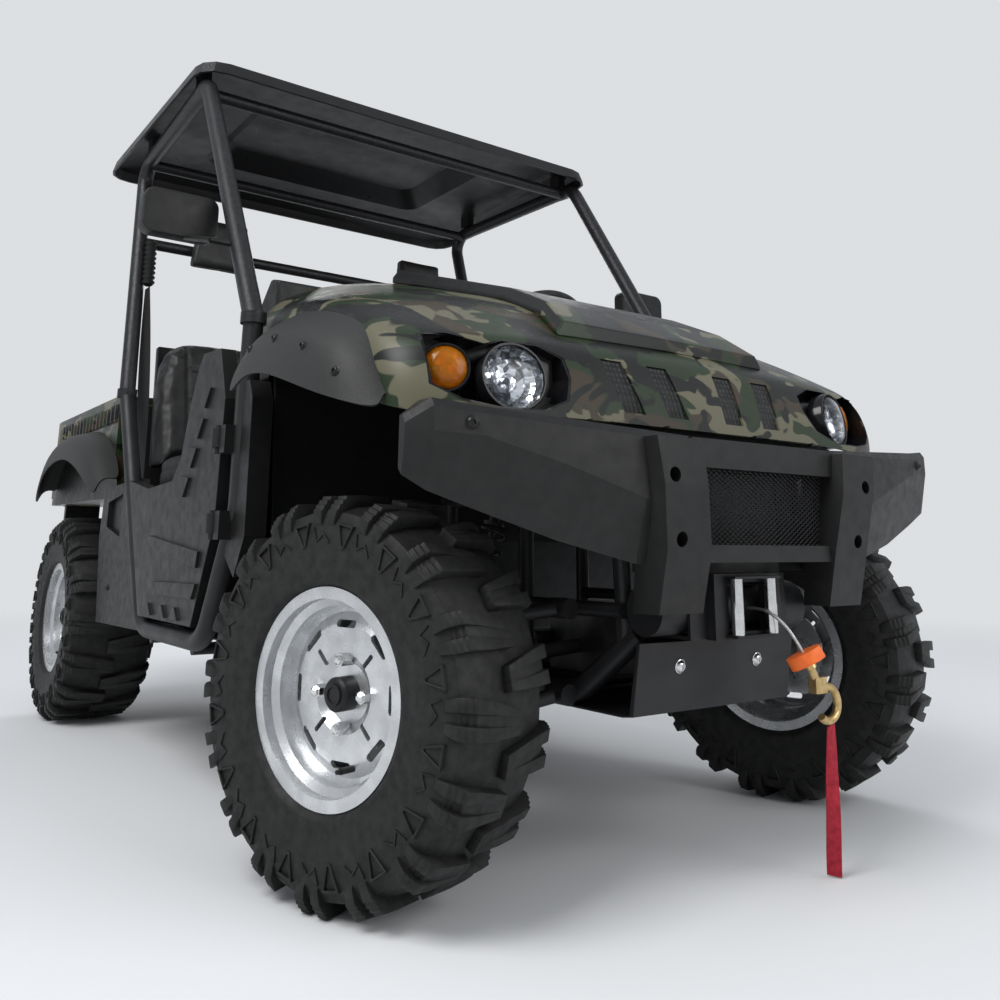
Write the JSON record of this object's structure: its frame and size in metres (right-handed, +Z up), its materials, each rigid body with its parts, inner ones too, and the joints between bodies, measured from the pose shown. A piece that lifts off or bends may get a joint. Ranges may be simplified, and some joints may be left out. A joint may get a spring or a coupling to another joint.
{
  "type": "side by side utility vehicle",
  "caption": "Compact off-road utility vehicle with side-by-side seats, open cab under a roll cage and roof, half doors, a tilting cargo bed and a front winch.",
  "frame": {"origin": "on the ground, in the middle of the vehicle footprint", "axes": "-Y to the front of the vehicle, +X to its left side, +Z up"},
  "size_m": [1.644, 2.8939, 1.876],
  "materials": {
    "amber_lens": "glossy",
    "belt_webbing": "woven",
    "black_plastic": "satin moulded",
    "camo_plastic": "semi-gloss woodland camouflage",
    "cast_metal": "rough",
    "frame_paint": "textured powder coat",
    "grey_plastic": "grained",
    "grip_rubber": "matt",
    "hook_brass": "yellow zinc",
    "lens": "clear",
    "orange_rubber": "matt",
    "red_lens": "glossy",
    "red_webbing": "woven",
    "rim_steel": "bright silver",
    "shock_steel": "gloss",
    "steel": "plain",
    "tyre_rubber": "matt",
    "vinyl": "matt grained vinyl"
  },
  "bodies": {
    "chassis": {"belt_bellows": "black_plastic", "bumper": "black_plastic", "bumper_grille": "black_plastic", "cab_tub": "black_plastic", "cable_stop": "orange_rubber", "dash": "black_plastic", "engine": "cast_metal", "fairlead": "steel", "front_driveline": "cast_metal", "front_flares": "grey_plastic", "front_frame": "frame_paint", "front_lower_arms": "frame_paint", "front_side_panels": "black_plastic", "front_upper_arms": "frame_paint", "headlamps": "lens", "headrests": "vinyl", "hood": "camo_plastic", "hood_panel": "black_plastic", "hook_strap": "red_webbing", "lamp_pods": "black_plastic", "main_frame": "frame_paint", "marker_lamps": "amber_lens", "mirrors": "black_plastic", "muffler": "steel", "nose_screens": "black_plastic", "radiator": "cast_metal", "rear_arms": "frame_paint", "rear_driveline": "cast_metal", "rear_frame": "frame_paint", "rear_side_panels": "black_plastic", "roll_cage": "frame_paint", "roof": "black_plastic", "seat_belts": "belt_webbing", "seat_left": "vinyl", "seat_right": "vinyl", "shocks": "shock_steel", "side_hoops": "frame_paint", "skid_plates": "frame_paint", "steering_column": "frame_paint", "winch": "frame_paint", "winch_cable": "steel", "winch_hook": "hook_brass"},
    "knuckle_left": {"knuckle_left": "cast_metal"},
    "knuckle_right": {"knuckle_right": "cast_metal"},
    "wheel_front_left": {"rim_front_left": "rim_steel", "tyre_front_left": "tyre_rubber"},
    "wheel_front_right": {"rim_front_right": "rim_steel", "tyre_front_right": "tyre_rubber"},
    "wheel_rear_left": {"rim_rear_left": "rim_steel", "tyre_rear_left": "tyre_rubber"},
    "wheel_rear_right": {"rim_rear_right": "rim_steel", "tyre_rear_right": "tyre_rubber"},
    "steering_wheel": {"steering_wheel": "grip_rubber"},
    "tie_rods": {"tie_rods": "steel"},
    "door_left": {"door_left": "black_plastic"},
    "door_right": {"door_right": "black_plastic"},
    "bed": {"cargo_bed": "camo_plastic", "rear_flares": "grey_plastic", "tail_lamps": "red_lens"},
    "tailgate": {"tailgate": "camo_plastic"}
  },
  "joints": [
    {"name": "steer_left", "type": "hinge", "parent": "chassis", "child": "knuckle_left", "pos_m": [0.504, -1.005, 0.312], "axis": [0, 0, 1], "range_deg": [-46.2, 13.8]},
    {"name": "steer_right", "type": "hinge", "parent": "chassis", "child": "knuckle_right", "pos_m": [-0.504, -1.005, 0.312], "axis": [0, 0, 1], "range_deg": [-46.3, 13.9]},
    {"name": "steering_wheel_turn", "type": "hinge", "parent": "chassis", "child": "steering_wheel", "pos_m": [0.35, -0.3, 1.125], "axis": [0, 0.766, 0.6428], "range_deg": [-416.5, 124.9]},
    {"name": "tie_rod_slide", "type": "slide", "parent": "chassis", "child": "tie_rods", "axis": [1, 0, 0], "range_m": [-0.0236, 0.0781]},
    {"name": "spin_front_left", "type": "hinge", "parent": "knuckle_left", "child": "wheel_front_left", "pos_m": [0.56162, -0.98826, 0.312], "axis": [0.9603, 0.279, 0], "continuous": true},
    {"name": "spin_front_right", "type": "hinge", "parent": "knuckle_right", "child": "wheel_front_right", "pos_m": [-0.56162, -1.02174, 0.312], "axis": [0.9603, 0.279, 0], "continuous": true},
    {"name": "spin_rear_left", "type": "hinge", "parent": "chassis", "child": "wheel_rear_left", "pos_m": [0.545, 0.905, 0.312], "axis": [1, 0, 0], "continuous": true},
    {"name": "spin_rear_right", "type": "hinge", "parent": "chassis", "child": "wheel_rear_right", "pos_m": [-0.545, 0.905, 0.312], "axis": [1, 0, 0], "continuous": true},
    {"name": "door_left_hinge", "type": "hinge", "parent": "chassis", "child": "door_left", "pos_m": [0.676, -0.566, 0.67], "axis": [0, 0, -1], "range_deg": [0, 70]},
    {"name": "door_right_hinge", "type": "hinge", "parent": "chassis", "child": "door_right", "pos_m": [-0.676, -0.566, 0.67], "axis": [0, 0, 1], "range_deg": [0, 70]},
    {"name": "bed_tilt", "type": "hinge", "parent": "chassis", "child": "bed", "pos_m": [0, 1.185, 0.64], "axis": [-1, 0, 0], "range_deg": [0, 45]},
    {"name": "tailgate_hinge", "type": "hinge", "parent": "bed", "child": "tailgate", "pos_m": [0, 1.424, 0.688], "axis": [-1, 0, 0], "range_deg": [0, 90]}
  ],
  "couplings": [
    {"joint": "steer_right", "follows": "steer_left", "ratio": 1},
    {"joint": "steering_wheel_turn", "follows": "steer_left", "ratio": 9},
    {"joint": "tie_rod_slide", "follows": "steer_left", "m_per_rad": -0.096}
  ]
}
